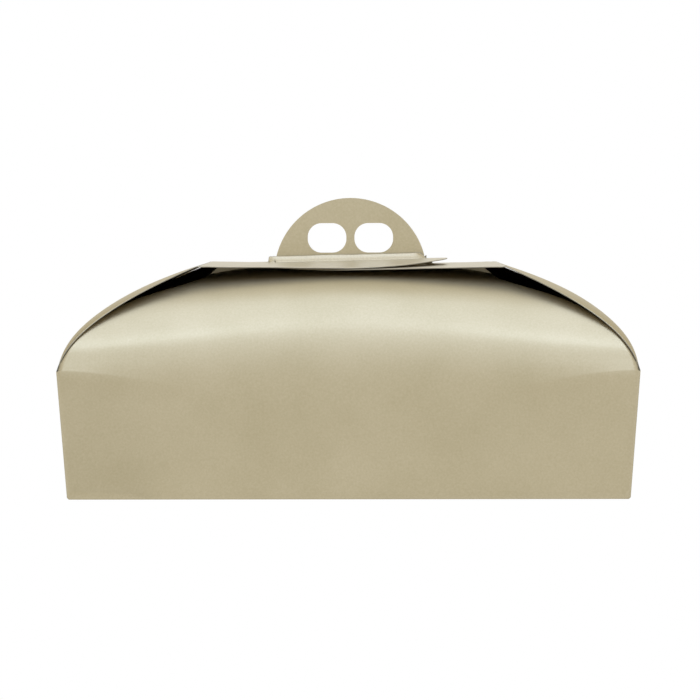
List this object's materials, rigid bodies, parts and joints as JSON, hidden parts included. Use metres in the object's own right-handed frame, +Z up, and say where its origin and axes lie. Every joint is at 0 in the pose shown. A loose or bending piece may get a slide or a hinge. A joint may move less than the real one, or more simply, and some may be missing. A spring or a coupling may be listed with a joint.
{
  "type": "cake box",
  "caption": "Folded board cake box with leaning walls, bulging curved roof, a half-moon carrying handle with finger holes and slotted locking flaps.",
  "frame": {"origin": "middle of the underside, on the surface that the box stands on", "axes": "+X along the box's length towards the lower flap's crease, +Y from the front to the back, +Z up"},
  "size_m": [0.3628, 0.2616, 0.1874],
  "materials": {
    "champagne_board": "satin champagne metallised face, pale uncoated cut edges and inside"
  },
  "bodies": {
    "carton": {"carton": "champagne_board"},
    "locking_flap": {"locking_flap": "champagne_board"}
  },
  "joints": [
    {"name": "locking_flap_hinge", "type": "hinge", "parent": "carton", "child": "locking_flap", "pos_m": [-0.098, 0, 0.1431], "axis": [0, -1, 0], "range_deg": [0, 120]}
  ]
}
